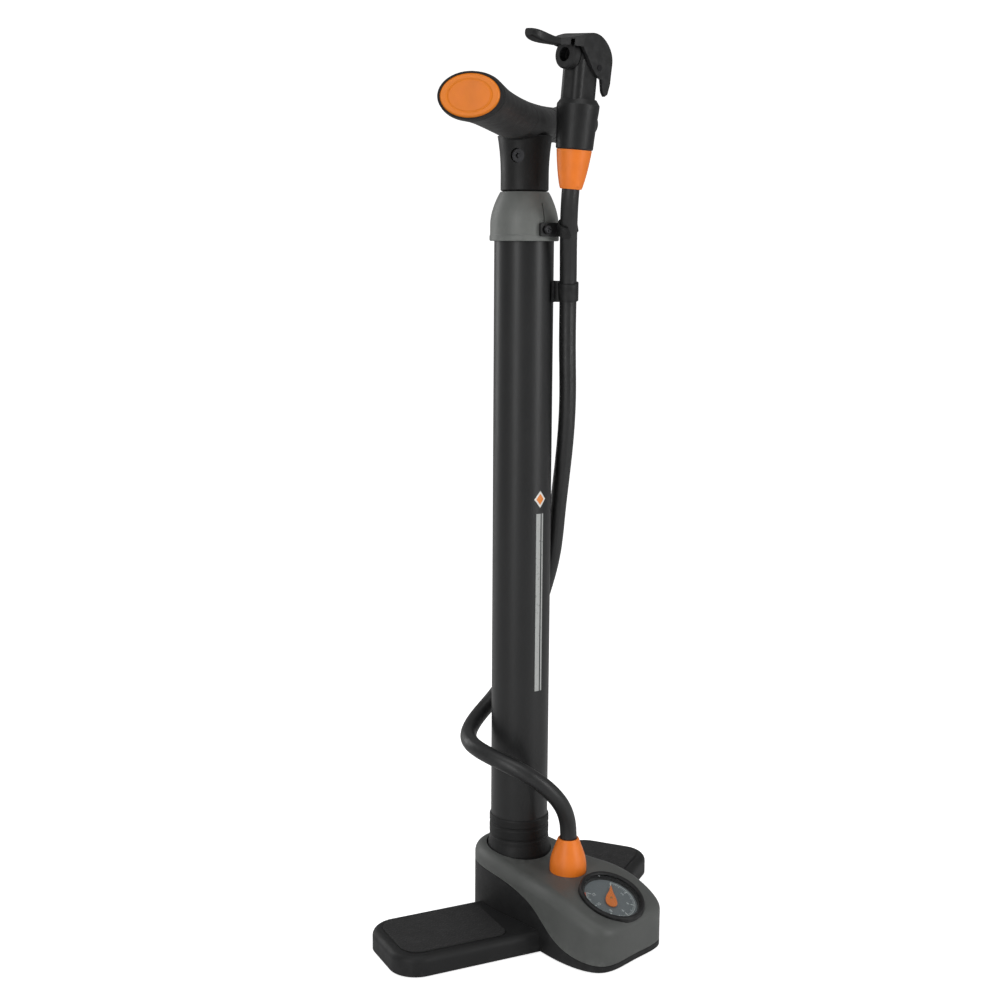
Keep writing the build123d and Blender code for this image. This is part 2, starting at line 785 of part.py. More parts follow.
# ---------------------------------------------------------------- hose clips
def collar_hose_clip():
    """Open clip around the hose, screwed to the collar."""
    hose_centre, hose_dir = hose_at_height(clip_z + 1.0)
    hose_plane = Plane(origin=hose_centre, z_dir=hose_dir)
    screw_plane = clip_face(clip_z)
    outwards = Vector(hose_centre.X, hose_centre.Y, 0).normalized()
    with BuildPart() as clip:
        with BuildSketch(hose_plane.offset(-4.0)):
            Circle(7.3)
        extrude(amount=8)
        # plate under the screw's head, and the block that joins it to the clip
        with BuildSketch(screw_plane.offset(23.1)):
            with Locations((3.0, 0)):
                RectangleRounded(15.0, 9.0, 1.5)
        extrude(amount=2.2)
        with BuildSketch(screw_plane.offset(23.1)):
            with Locations((11.0, 0)):
                Rectangle(5.0, 8.0)
        extrude(amount=10.0)
        with BuildSketch(hose_plane.offset(-15)):
            Circle(hose_grip_r)
        extrude(amount=30, mode=Mode.SUBTRACT)
        # open mouth of the clip, on the side away from the barrel
        with BuildSketch(Plane(origin=hose_centre, x_dir=outwards,
                               z_dir=(0, 0, 1)).offset(-12)):
            with Locations((3.2, 0)):
                Rectangle(10, 30, align=(Align.MIN, Align.CENTER))
        extrude(amount=24, mode=Mode.SUBTRACT)
        with BuildSketch(screw_plane.offset(20.0)):
            Circle(1.6)
        extrude(amount=8, mode=Mode.SUBTRACT)
        # clear the collar
        with BuildSketch(Plane.XY.offset(470)):
            Circle(collar_r + 0.1)
        extrude(amount=30, mode=Mode.SUBTRACT)
    return clip.part


def clip_screw():
    screw_plane = clip_face(clip_z)
    with BuildPart() as screw:
        for start, radius, height in ((20.3, 1.5, 5.3), (25.4, 2.9, 2.4)):
            with BuildSketch(screw_plane.offset(start)):
                Circle(radius)
            extrude(amount=height)
        chamfer(screw.edges().filter_by(GeomType.CIRCLE).sort_by(Axis.Y)[0], 0.7)
        with BuildSketch(screw_plane.offset(26.8)):
            Rectangle(3.4, 0.8)
            Rectangle(0.8, 3.4)
        extrude(amount=3, mode=Mode.SUBTRACT)
    return screw.part


def barrel_hose_clip():
    """Ring around the hose with a curved foot against the barrel."""
    hose_centre, hose_dir = hose_at_height(barrel_clip_z)
    hose_plane = Plane(origin=hose_centre, z_dir=hose_dir)
    reach = sqrt(hose_centre.X ** 2 + hose_centre.Y ** 2)
    outwards = Vector(hose_centre.X / reach, hose_centre.Y / reach, 0)
    half_h = 7
    with BuildPart() as clip:
        with BuildSketch(hose_plane.offset(-6)):
            Circle(7.0)
        extrude(amount=12)
        # web between ring and barrel
        with BuildSketch(Plane(origin=(outwards.X * 19, outwards.Y * 19, barrel_clip_z),
                               x_dir=outwards, z_dir=(0, 0, 1)).offset(-half_h)):
            Rectangle(9.0, 5.0, align=(Align.MIN, Align.CENTER))
        extrude(amount=2 * half_h)
        # curved foot, the part of a disc beyond a straight line
        with BuildSketch(Plane(origin=(0, 0, barrel_clip_z), x_dir=outwards,
                               z_dir=(0, 0, 1)).offset(-half_h)):
            Circle(21.4)
            Rectangle(60, 60, align=(Align.MAX, Align.CENTER), mode=Mode.SUBTRACT)
            Rectangle(19.4, 60, align=(Align.MIN, Align.CENTER), mode=Mode.SUBTRACT)
        extrude(amount=2 * half_h)
        with BuildSketch(Plane.XY.offset(420)):
            Circle(barrel_r + 0.06)
        extrude(amount=50, mode=Mode.SUBTRACT)
        with BuildSketch(hose_plane.offset(-20)):
            Circle(hose_grip_r)
        extrude(amount=40, mode=Mode.SUBTRACT)
    return clip.part


# ---------------------------------------------------------------- piston and rod
rod_z0 = 34.0              # shoulder above the rod's thin end


def piston_body():
    return turned([
        (9.1, 30.0), (bore_fit_r, 30.0), (bore_fit_r, 36.0), (14.0, 36.0), (14.0, 41.0),
        (bore_fit_r, 41.0), (bore_fit_r, 43.2), (17.1, 44.0), (rod_bore_r, 44.0),
        (rod_bore_r, 34.1), (9.1, 34.1)])


def piston_seal():
    seal_r = barrel_bore_r - run
    return turned([(14.1, 36.1), (17.6, 36.1), (seal_r, 37.4), (seal_r, 40.2),
                   (17.6, 40.9), (14.1, 40.9)])


def piston_retainer():
    with BuildPart() as retainer:
        with BuildSketch(Plane.XY.offset(25.5)):
            Circle(17.6)
        extrude(amount=4.4)
        chamfer(retainer.edges().filter_by(GeomType.CIRCLE).sort_by(Axis.Z)[0], 1.0)
    return retainer.part


def piston_rod():
    with BuildPart() as rod:
        with BuildSketch(Plane.XY.offset(rod_z0)):
            Circle(rod_r)
        extrude(amount=512.0)
        with BuildSketch(Plane.XY.offset(30.2)):
            Circle(3.95)
        extrude(amount=4)
        # cross hole for the handle's bolt
        with BuildSketch(bolt_plane.offset(-12)):
            Circle(2.55)
        extrude(amount=24, mode=Mode.SUBTRACT)
        chamfer(rod.edges().filter_by(GeomType.CIRCLE).group_by(Axis.Z)[-1], 1.0)
    return rod.part


def rod_foot():
    return ring(Plane.XY.offset(30.05), 8.9, 4.0, 3.85)


def top_bumper():
    return ring(Plane.XY.offset(508.3), 11.5, rod_r + 0.1, 3.4)


# ---------------------------------------------------------------- handle
# sections: distance along the handle, full width, full height
core_sections = [
    (-26.8, 35.4, 24.8), (-13, 35.8, 25.8), (0, 36.4, 26.6), (13, 35.8, 25.8),
    (26.8, 35.4, 24.8)]
grip_sections = [
    (27.2, 35.6, 25.0), (42, 36.2, 24.2), (62, 37.4, 23.8), (80, 39.0, 24.8),
    (94, 41.2, 27.0), (104, 42.8, 29.2)]
grip_end_sections = [(103.9, 42.8, 29.2), (107.6, 41.2, 28.0)]
cap_sections = [(102.8, 38.1, 25.7), (107.2, 38.1, 25.7), (108.4, 36.0, 23.6)]

# spar inside each grip, half width and half height
spar_a, spar_b = 12, 7
spar_gap = 0.15


def handle_core():
    """Hub between the grips, a spar into each grip and the neck on the rod."""
    with BuildPart() as core:
        for s, width, height in core_sections:
            with BuildSketch(handle_plane(s)):
                Ellipse(width / 2, height / 2)
        loft()
        for side in (-1, 1):
            for s in (20, 60, 98):
                with BuildSketch(handle_plane(side * s)):
                    Ellipse(spar_a, spar_b)
            loft()
        # neck
        with BuildSketch(Plane.XZ):
            with BuildLine():
                Polyline((0, neck_z0), (15.2, neck_z0), (neck_r, neck_z0 + 0.8),
                         (neck_r, 520.0))
                flare = Spline((neck_r, 520.0), (16.5, 531.0), (18.2, 544.0),
                               tangents=[(0, 1), (0.2, 1)])
                Polyline(flare @ 1, (0, 552.0), (0, neck_z0))
            make_face()
        revolve(axis=Axis.Z)
        # rod socket and recess for the bumper
        for start, radius, depth in ((500, rod_r + 0.03, 46.2), (505, 11.7, 6.9)):
            with BuildSketch(Plane.XY.offset(start)):
                Circle(radius)
            extrude(amount=depth, mode=Mode.SUBTRACT)
        # cross hole for the bolt, recess for its head, recess for the nut
        for start, radius, depth in ((-20, 2.6, 40), (-22, 4.7, 11.5)):
            with BuildSketch(bolt_plane.offset(start)):
                Circle(radius)
            extrude(amount=depth, mode=Mode.SUBTRACT)
        with BuildSketch(bolt_plane.offset(10.5)):
            RegularPolygon(4.9, 6)
        extrude(amount=11.5, mode=Mode.SUBTRACT)
    return core.part


def handle_grip(side):
    with BuildPart() as grip:
        for sections in (grip_sections, grip_end_sections):
            for s, width, height in sections:
                with BuildSketch(handle_plane(side * s)):
                    Ellipse(width / 2, height / 2)
            loft()
        # hollow for the spar, recess for the end cap
        for s in (20, 60, 98.2):
            with BuildSketch(handle_plane(side * s)):
                Ellipse(spar_a + spar_gap, spar_b + spar_gap)
        loft(mode=Mode.SUBTRACT)
        for s in (102.6, 112):
            with BuildSketch(handle_plane(side * s)):
                Ellipse(19.2, 13.0)
        loft(mode=Mode.SUBTRACT)
    return grip.part


def end_cap(side):
    with BuildPart() as cap:
        for s, width, height in cap_sections:
            with BuildSketch(handle_plane(side * s)):
                Ellipse(width / 2, height / 2)
        loft(ruled=True)
    return cap.part


def handle_bolt():
    """Bolt along the handle's direction, its hex-socket head to the left."""
    with BuildPart() as bolt:
        for start, radius, height in ((-10.6, 2.5, 24.2), (-13.6, 4.5, 3.0)):
            with BuildSketch(bolt_plane.offset(start)):
                Circle(radius)
            extrude(amount=height)
        with BuildSketch(bolt_plane.offset(-14.4)):
            RegularPolygon(2.0, 6)
        extrude(amount=2.8, mode=Mode.SUBTRACT)
    return bolt.part


def handle_nut():
    with BuildPart() as nut:
        with BuildSketch(bolt_plane.offset(10.6)):
            RegularPolygon(4.7, 6)
            Circle(2.55, mode=Mode.SUBTRACT)
        extrude(amount=3.0)
    return nut.part


# ---------------------------------------------------------------- hose head
def head_body():
    """Sleeve, block and the sideways barrel of the valve mouth."""
    sleeve_z0 = 24.9
    with BuildPart() as body:
        with BuildSketch(head_side):
            with BuildLine():
                Polyline((0, sleeve_z0), (11.4, sleeve_z0), (12.0, 25.5))
                sleeve = Spline((12.0, 25.5), (12.8, 40.0), (13.7, 51.0),
                                tangents=[(0.05, 1), (0.05, 1)])
                Polyline(sleeve @ 1, (13.7, 52.8), (11.4, 56.2), (0, 56.2), (0, sleeve_z0))
            make_face()
        revolve(axis=head_z_axis)
        # upright block between the sleeve and the valve mouth
        with BuildSketch(head_level(0, 55)):
            with Locations((1.0, 0)):
                RectangleRounded(20.4, 17.2, 5.5)
        extrude(amount=25)
        # barrel of the valve mouth, then its chamber and the plunger's hole
        for start, radius, depth, mode in ((-6.5, 8.4, 16.7, Mode.ADD),
                                           (-1.9, chamber_r, 20, Mode.SUBTRACT),
                                           (-15.0, 2.05, 14, Mode.SUBTRACT)):
            with BuildSketch(head_cross(start)):
                with Locations((0, chuck_h)):
                    Circle(radius)
            extrude(amount=depth, mode=mode)
        # air way up to the chamber, then the bore for the fitting
        for u, start, radius, depth in ((2.0, 38, 1.6, 40), (0, 20, 4.05, 20)):
            with BuildSketch(head_level(u, start)):
                Circle(radius)
            extrude(amount=depth, mode=Mode.SUBTRACT)
        # pin hole
        with BuildSketch(head_side):
            with Locations((pivot_u, pivot_h)):
                Circle(pin_r + 0.02)
        extrude(amount=20, both=True, mode=Mode.SUBTRACT)
    return body.part


def head_mouth_cap():
    with BuildPart() as cap:
        with BuildSketch(head_cross(11.3)):
            with Locations((0, chuck_h)):
                Circle(8.8)
                Circle(4.4, mode=Mode.SUBTRACT)
        extrude(amount=5.4)
        # outer rim at the open end
        chamfer(cap.edges().filter_by(GeomType.CIRCLE).filter_by(
            lambda edge: edge.radius > 8
            and (edge.arc_center - head_base).dot(head_u) > 14), 1.0)
    return cap.part


def valve_gasket():
    return ring(head_cross(4.8), chamber_r - 0.15, 4.0, 6.4, centre=(0, chuck_h))


def head_plunger():
    with BuildPart() as plunger:
        for start, radius, height in ((-1.8, chamber_r - 0.08, 3.4), (-10.6, 2.0, 9.0)):
            with BuildSketch(head_cross(start)):
                with Locations((0, chuck_h)):
                    Circle(radius)
            extrude(amount=height)
    return plunger.part


def lever_pin():
    with BuildPart() as pin:
        with BuildSketch(head_side):
            with Locations((pivot_u, pivot_h)):
                Circle(pin_r)
        extrude(amount=11.5, both=True)
    return pin.part


# lever, measured from its pin: (u, h) in side view
lever_crown = [
    (-11.8, 3.0), (-10.4, 9.6), (-6.0, 15.2), (1.0, 19.4), (8.5, 20.3), (16.0, 18.4),
    (24.0, 16.0), (31.0, 14.6)]
lever_underside = [
    (31.0, 10.6), (24, 11.2), (16.5, 11.0), (12, 6.0), (6.4, -1.0), (2.6, -4.4),
    (-3.0, -7.0), (-5.0, -14.4), (-7.4, -17.0), (-9.8, -15.4), (-11.4, -9.0)]
lever_hollow = [
    (-20, 5.8), (-9.2, 5.8), (-7.8, 9.4), (-4.2, 13.6), (1.4, 17.0), (8.4, 17.9),
    (16.0, 15.7), (24.6, 14.9), (24.6, -30), (-20, -30)]
# outline from above, (u, w) from the pin
lever_plan = [
    (-30, -14), (8, -14), (17, -11.2), (25.5, -7.4), (31.0, -5.0), (31.0, 5.0),
    (25.5, 7.4), (17, 11.2), (8, 14), (-30, 14)]
# paddle sections from the pin: u, half width, bottom h, top h
paddle_sections = [
    (29.0, 5.0, 10.4, 14.8), (36.0, 5.2, 10.3, 15.2), (44.0, 6.0, 10.5, 16.2),
    (50.5, 5.4, 11.6, 17.2), (54.5, 3.2, 13.2, 17.4)]


def at_pivot(points):
    return [(pivot_u + u, pivot_h + h) for u, h in points]


def head_lever():
    """Hood with two cheeks over the head, and a paddle."""
    with BuildPart() as lever:
        # hood, in side view
        with BuildSketch(head_side):
            with BuildLine():
                crown = Spline(at_pivot(lever_crown))
                Polyline(crown @ 1, *at_pivot(lever_underside), crown @ 0)
            make_face()
        extrude(amount=11.2, both=True)
        # hollow between the cheeks
        with BuildSketch(head_side):
            with BuildLine():
                Polyline(*at_pivot(lever_hollow), close=True)
            make_face()
        extrude(amount=8.9, both=True, mode=Mode.SUBTRACT)
        # hood narrows to the paddle
        with BuildSketch(head_level(pivot_u, pivot_h - 30)):
            with BuildLine():
                Polyline(*lever_plan, close=True)
            make_face()
        extrude(amount=80, mode=Mode.INTERSECT)
        # paddle, rising to its tip
        for u, half_w, bottom, top in paddle_sections:
            with BuildSketch(head_cross(pivot_u + u)):
                with Locations((0, pivot_h + (bottom + top) / 2)):
                    RectangleRounded(2 * half_w, top - bottom, 1.6)
        loft()
        # pin hole
        with BuildSketch(head_side):
            with Locations((pivot_u, pivot_h)):
                Circle(pin_r + run)
        extrude(amount=20, both=True, mode=Mode.SUBTRACT)
    return lever.part


# ---------------------------------------------------------------- files
for make in (
        base_body, base_cover, rubber_soles, base_screws, barrel_socket, barrel,
        valve_seat, seat_seal, check_valve_disc, check_valve_spring, air_manifold,
        gauge_pipe, hose_fitting_base, hose_boot_base, hose, hose_boot_head,
        hose_fitting_head, gauge_case, gauge_dial, bourdon_tube, gauge_sector,
        gauge_movement, gauge_pinion, gauge_needle, gauge_lens, gauge_bezel,
        top_collar, rod_bush, rod_wiper, collar_hose_clip, clip_screw,
        barrel_hose_clip, piston_body, piston_seal, piston_retainer, piston_rod,
        rod_foot, top_bumper, handle_core, handle_bolt, handle_nut, head_body,
        head_mouth_cap, valve_gasket, head_plunger, lever_pin, head_lever):
    save(make(), make.__name__)

for side, side_name in ((-1, "left"), (1, "right")):
    save(foot_tread(side), "foot_tread_" + side_name)
    save(handle_grip(side), "grip_" + side_name)
    save(end_cap(side), "end_cap_" + side_name)
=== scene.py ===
# Floor pump with a dial gauge in its base. Metres, +Z up.
# The barrel stands on the Z axis, and the handle lies across its top, HANDLE_ANGLE round from +X.
# The dial is on the -Y side of the barrel, facing up and leaning towards -Y.
import bpy, json, math
from mathutils import Vector, Matrix


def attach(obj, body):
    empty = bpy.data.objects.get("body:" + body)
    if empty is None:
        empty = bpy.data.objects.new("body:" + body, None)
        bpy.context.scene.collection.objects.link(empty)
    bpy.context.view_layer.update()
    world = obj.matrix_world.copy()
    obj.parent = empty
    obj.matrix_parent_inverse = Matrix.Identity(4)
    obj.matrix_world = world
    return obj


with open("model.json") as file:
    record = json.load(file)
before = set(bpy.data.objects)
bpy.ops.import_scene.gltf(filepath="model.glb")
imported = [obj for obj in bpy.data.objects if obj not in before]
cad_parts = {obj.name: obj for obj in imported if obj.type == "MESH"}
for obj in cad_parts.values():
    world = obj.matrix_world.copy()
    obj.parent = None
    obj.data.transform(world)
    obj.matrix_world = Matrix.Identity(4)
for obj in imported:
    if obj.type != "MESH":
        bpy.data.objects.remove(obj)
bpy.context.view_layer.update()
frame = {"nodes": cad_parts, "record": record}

MM = 0.001
HANDLE_ANGLE = math.radians(24.8)
HANDLE_HEIGHT = 0.5601
BARREL_RADIUS = 0.020

# ------------------------------------------------------------------ shader building
MATERIALS = {}


class Shader:
    """A node material, filed in MATERIALS. Scales are per metre, in object space."""

    def __init__(self, name):
        material = bpy.data.materials.new(name)
        material.use_nodes = True
        self.tree = material.node_tree
        self.tree.nodes.clear()
        self.output = self.add("ShaderNodeOutputMaterial")
        self.place = self.add("ShaderNodeTexCoord").outputs["Object"]
        MATERIALS[name] = material

    def feed(self, socket, value):
        """Link a socket to an input, or set the input to a plain value."""
        if isinstance(value, bpy.types.NodeSocket):
            self.tree.links.new(value, socket)
        elif socket.type == "RGBA":
            socket.default_value = (*value, 1)
        else:
            socket.default_value = value

    def add(self, kind, inputs={}, **settings):
        node = self.tree.nodes.new(kind)
        for key, value in settings.items():
            setattr(node, key, value)
        for key, value in inputs.items():
            self.feed(node.inputs[key], value)
        return node

    def noise(self, scale, detail=4.0, rough=0.55, distort=0.0, place=None):
        return self.add("ShaderNodeTexNoise", {
            "Scale": scale, "Detail": detail, "Roughness": rough, "Distortion": distort,
            "Vector": place or self.place}).outputs["Fac"]

    def drawn_out(self, z_scale):
        """Coordinates that stretch a texture along Z."""
        return self.add("ShaderNodeMapping", {
            "Scale": (1, 1, z_scale), "Vector": self.place}).outputs["Vector"]

    def cells(self, scale):
        return self.add("ShaderNodeTexVoronoi", {
            "Scale": scale, "Vector": self.place}).outputs["Distance"]

    def xyz(self):
        return self.add("ShaderNodeSeparateXYZ", {0: self.place}).outputs

    def ramp(self, value, dark, light, start=0.3, end=0.7):
        node = self.add("ShaderNodeValToRGB", {"Fac": value})
        stops = ((start, dark), (end, light))
        for element, (position, color) in zip(node.color_ramp.elements, stops):
            element.position = position
            element.color = (*color, 1)
        return node.outputs["Color"]

    def remap(self, value, over, to=(0.0, 1.0)):
        return self.add("ShaderNodeMapRange", {
            "From Min": over[0], "From Max": over[1], "To Min": to[0], "To Max": to[1],
            "Value": value}).outputs["Result"]

    def math(self, operation, *values):
        inputs = dict(enumerate(values))
        return self.add("ShaderNodeMath", inputs, operation=operation).outputs["Value"]

    def distance(self, value, centre):
        return self.math("ABSOLUTE", self.math("SUBTRACT", value, centre))

    def mix(self, amount, under, over):
        inputs = {0: amount, 6: under, 7: over}
        return self.add("ShaderNodeMix", inputs, data_type="RGBA").outputs[2]

    def edges(self):
        pointiness = self.add("ShaderNodeNewGeometry").outputs["Pointiness"]
        return self.remap(pointiness, over=(0.52, 0.60))

    def bump(self, height, strength, distance, normal=None):
        inputs = {"Strength": strength, "Distance": distance, "Height": height}
        if normal is not None:
            inputs["Normal"] = normal
        return self.add("ShaderNodeBump", inputs).outputs["Normal"]

    def surface(self, node):
        self.feed(self.output.inputs["Surface"], node.outputs[0])

    def principled(self, color, rough, normal, metallic=0.0, coat=0.0, coat_rough=0.1,
                   sheen=0.0, spec=0.5):
        node = self.add("ShaderNodeBsdfPrincipled", {
            "Base Color": color, "Roughness": rough, "Normal": normal, "Metallic": metallic,
            "Coat Weight": coat, "Coat Roughness": coat_rough, "Sheen Weight": sheen,
            "Specular IOR Level": spec})
        self.surface(node)
        return node


def tint(color, factor, lift=0.0):
    return tuple(min(1.0, c * factor + lift) for c in color)


# ------------------------------------------------------------------ materials
def moulded(name, base, rough, grain, relief, wear=0.35, vary=0.16, spec=0.5):
    """Moulded plastic: pitted grain, faint flow mottling and rubbed edges."""
    mat = Shader(name)
    flow = mat.noise(scale=18.0, detail=3.0, rough=0.5, distort=0.4)
    mottle = mat.noise(scale=120.0)
    fine = mat.noise(scale=grain, detail=3.0, rough=0.6)
    pits = mat.cells(scale=grain * 0.55)

    color = mat.ramp(flow, tint(base, 1 - vary), tint(base, 1 + vary), start=0.32, end=0.68)
    patches = mat.remap(mottle, over=(0.3, 0.7), to=(0.0, 0.35))
    color = mat.mix(patches, color, tint(base, 1.22, lift=0.004))
    rubbing = mat.remap(mat.noise(scale=240.0), over=(0.42, 0.66), to=(0.0, wear))
    worn = mat.math("MULTIPLY", mat.edges(), rubbing)
    color = mat.mix(worn, color, tint(base, 1.6, lift=0.05))

    roughness = mat.remap(mottle, over=(0.25, 0.75), to=(rough - 0.06, rough + 0.07))
    roughness = mat.math("ADD", roughness, mat.math("MULTIPLY", worn, 0.18))
    height = mat.math("ADD", mat.math("MULTIPLY", fine, 0.7), mat.math("MULTIPLY", pits, 0.5))
    normal = mat.bump(height, strength=relief, distance=0.00018)
    normal = mat.bump(mottle, strength=0.05, distance=0.0006, normal=normal)
    mat.principled(color, roughness, normal, coat_rough=0.22, spec=spec)


def rubber(name, base, rough, grain=900.0, relief=0.35, pips=False):
    """Dusty rubber, with raised pips if asked for."""
    mat = Shader(name)
    mottle = mat.noise(scale=26.0, detail=3.0, rough=0.5, distort=0.3)
    height = fine = mat.noise(scale=grain * 1.8, detail=3.0, rough=0.65)
    color = mat.ramp(mottle, tint(base, 0.82), tint(base, 1.2))
    dust = mat.noise(scale=70.0, detail=5.0, rough=0.7)
    dust = mat.remap(dust, over=(0.52, 0.78), to=(0.0, 0.28))
    color = mat.mix(dust, color, tint(base, 1.5, lift=0.016))
    roughness = mat.remap(mat.noise(scale=160.0), over=(0.3, 0.7), to=(rough - 0.07, rough + 0.08))
    if pips:
        domes = mat.remap(mat.cells(scale=grain), over=(0.15, 0.5), to=(1.0, 0.0))
        height = mat.math("ADD", mat.math("MULTIPLY", domes, 1.2), mat.math("MULTIPLY", fine, 0.4))
    normal = mat.bump(height, strength=relief, distance=0.0003)
    mat.principled(color, roughness, normal, sheen=0.05, spec=0.30)


def hose_rubber():
    """Extruded rubber: fine lines along Z over faint mottling."""
    mat = Shader("hose_rubber")
    base = (0.011, 0.0113, 0.0116)
    lines = mat.noise(scale=1600.0, detail=2.0, rough=0.5, place=mat.drawn_out(z_scale=0.05))
    color = mat.ramp(mat.noise(scale=60.0), tint(base, 0.8), tint(base, 1.35))
    roughness = mat.remap(mat.noise(scale=220.0), over=(0.3, 0.7), to=(0.36, 0.48))
    normal = mat.bump(lines, strength=0.16, distance=0.0002)
    normal = mat.bump(mat.noise(scale=900.0), strength=0.12, distance=0.00015, normal=normal)
    mat.principled(color, roughness, normal)


def barrel_graphics(mat, color):
    """Print two slim upright stripes, and a two-colour lozenge above them."""
    centre_angle = math.radians(-99.0)
    stripe_z, stripe_half_length = 0.232, 0.062
    stripes = ((-0.0012, 0.0017), (0.0022, 0.0006))  # arc offset, half width
    lozenge_z, lozenge_squash = 0.304, 0.8
    edge = 0.00012  # width of a stripe's soft edge
    # outer and inner lozenge: half width, half width with its soft edge, colour
    lozenges = ((0.0046, 0.0048, (0.75, 0.74, 0.70)), (0.0030, 0.0032, (0.80, 0.24, 0.03)))

    x, y, z = mat.xyz()
    turn = mat.math("SUBTRACT", mat.math("ARCTAN2", y, x), centre_angle)
    arc = mat.math("MULTIPLY", turn, BARREL_RADIUS)

    def band(value, centre, half):
        return mat.remap(mat.distance(value, centre), over=(half, half + edge), to=(1.0, 0.0))

    print_wear = mat.noise(scale=500.0, detail=4.0, rough=0.7)
    print_wear = mat.remap(print_wear, over=(0.34, 0.42), to=(0.55, 1.0))
    wide, slim = [
        mat.math("MULTIPLY", band(arc, offset, half), band(z, stripe_z, stripe_half_length))
        for offset, half in stripes]
    both = mat.math("MAXIMUM", wide, slim)
    color = mat.mix(mat.math("MULTIPLY", both, print_wear), color, (0.42, 0.43, 0.42))
    rise = mat.math("MULTIPLY", mat.distance(z, lozenge_z), lozenge_squash)
    reach = mat.math("ADD", mat.math("ABSOLUTE", arc), rise)
    for half, outside, ink in lozenges:
        shape = mat.remap(reach, over=(half, outside), to=(1.0, 0.0))
        color = mat.mix(mat.math("MULTIPLY", shape, print_wear), color, ink)
    return color


def barrel_paint():
    """Satin black paint on a drawn tube."""
    mat = Shader("barrel_paint")
    base = (0.0125, 0.0128, 0.0132)
    drawn = mat.noise(scale=900.0, detail=2.0, rough=0.5, place=mat.drawn_out(z_scale=0.012))
    peel = mat.noise(scale=420.0, detail=3.0, rough=0.5)
    mottle = mat.noise(scale=14.0, detail=3.0)
    color = barrel_graphics(mat, mat.ramp(mottle, tint(base, 0.86), tint(base, 1.14)))
    scuff = mat.noise(scale=60.0, detail=6.0, rough=0.75)
    scuff = mat.remap(scuff, over=(0.62, 0.72), to=(0.0, 0.25))
    roughness = mat.remap(mottle, over=(0.3, 0.7), to=(0.37, 0.45))
    roughness = mat.math("ADD", roughness, mat.math("MULTIPLY", scuff, 0.3))
    normal = mat.bump(drawn, strength=0.05, distance=0.0002)
    normal = mat.bump(peel, strength=0.035, distance=0.0003, normal=normal)
    mat.principled(color, roughness, normal, coat=0.06, coat_rough=0.30, spec=0.38)


def metal(name, base, rough, brushed=True, grain=1400.0):
    mat = Shader(name)
    place = mat.drawn_out(z_scale=0.06) if brushed else None
    lines = mat.noise(scale=grain, detail=2.0, rough=0.5, place=place)
    mottle = mat.noise(scale=50.0)
    color = mat.ramp(mottle, tint(base, 0.82), tint(base, 1.1))
    streaks = mat.remap(lines, over=(0.3, 0.7), to=(rough - 0.05, rough + 0.08))
    roughness = mat.math("ADD", streaks, mat.remap(mottle, over=(0.4, 0.7), to=(0.0, 0.05)))
    normal = mat.bump(lines, strength=0.10, distance=0.0001)
    mat.principled(color, roughness, normal, metallic=1.0)


def lens():
    """Clear window: mirrors at grazing angles, with faint smudges."""
    mat = Shader("lens")
    smear = mat.noise(scale=90.0, detail=5.0, rough=0.7, distort=1.5)
    gloss = mat.remap(smear, over=(0.35, 0.75), to=(0.04, 0.22))
    glossy = mat.add("ShaderNodeBsdfGlossy", {"Roughness": gloss})
    clear = mat.add("ShaderNodeBsdfTransparent", {"Color": (0.93, 0.95, 0.95)})
    facing = mat.add("ShaderNodeLayerWeight", {"Blend": 0.5}).outputs["Facing"]
    smudges = mat.remap(smear, over=(0.45, 0.8), to=(0.02, 0.05))
    mirror = mat.math("ADD", mat.math("POWER", facing, 4.0), smudges)
    mat.surface(mat.add("ShaderNodeMixShader", {
        0: mirror, 1: clear.outputs[0], 2: glossy.outputs[0]}))


def cap_plastic():
    """Orange plastic for the handle's end faces, with a shallow oval groove near the rim."""
    mat = Shader("cap_plastic")
    base = (0.82, 0.205, 0.009)
    half_width, half_height = 0.0190, 0.0128
    groove_at, groove_half = 0.74, 0.05  # as fractions of the oval

    fine = mat.noise(scale=1500.0, detail=3.0, rough=0.6)
    mottle = mat.noise(scale=160.0)
    clouds = mat.noise(scale=40.0, detail=3.0, rough=0.5, distort=0.6)

    # oval distance from the handle's axis, the same at both ends
    x, y, z = mat.xyz()
    across = mat.math("ADD", mat.math("MULTIPLY", x, -math.sin(HANDLE_ANGLE)),
                      mat.math("MULTIPLY", y, math.cos(HANDLE_ANGLE)))
    rise = mat.math("SUBTRACT", z, HANDLE_HEIGHT)
    squares = [mat.math("POWER", mat.math("DIVIDE", offset, half), 2.0)
               for offset, half in ((across, half_width), (rise, half_height))]
    oval = mat.math("SQRT", mat.math("ADD", *squares))
    from_groove = mat.distance(oval, groove_at)
    ridge = mat.remap(from_groove, over=(0.0, groove_half), to=(1.0, 0.0))
    groove = mat.math("SUBTRACT", 1.0, ridge)
    rim = mat.remap(oval, over=(0.70, 0.76))

    color = mat.ramp(clouds, tint(base, 0.90), tint(base, 1.08))
    color = mat.mix(mat.math("MULTIPLY", rim, 0.35), color, (0.84, 0.235, 0.012))
    patches = mat.remap(mottle, over=(0.4, 0.75), to=(0.0, 0.3))
    color = mat.mix(patches, color, (0.85, 0.255, 0.018))
    roughness = mat.remap(mottle, over=(0.3, 0.7), to=(0.30, 0.42))
    normal = mat.bump(groove, strength=0.55, distance=0.0006)
    normal = mat.bump(fine, strength=0.12, distance=0.00015, normal=normal)
    mat.principled(color, mat.math("ADD", roughness, 0.08), normal, spec=0.35)


def dial_ink(name, dark, light):
    mat = Shader(name)
    color = mat.ramp(mat.noise(scale=700.0), dark, light)
    normal = mat.bump(mat.noise(scale=3000.0), strength=0.05, distance=0.0001)
    mat.principled(color, 0.5, normal)


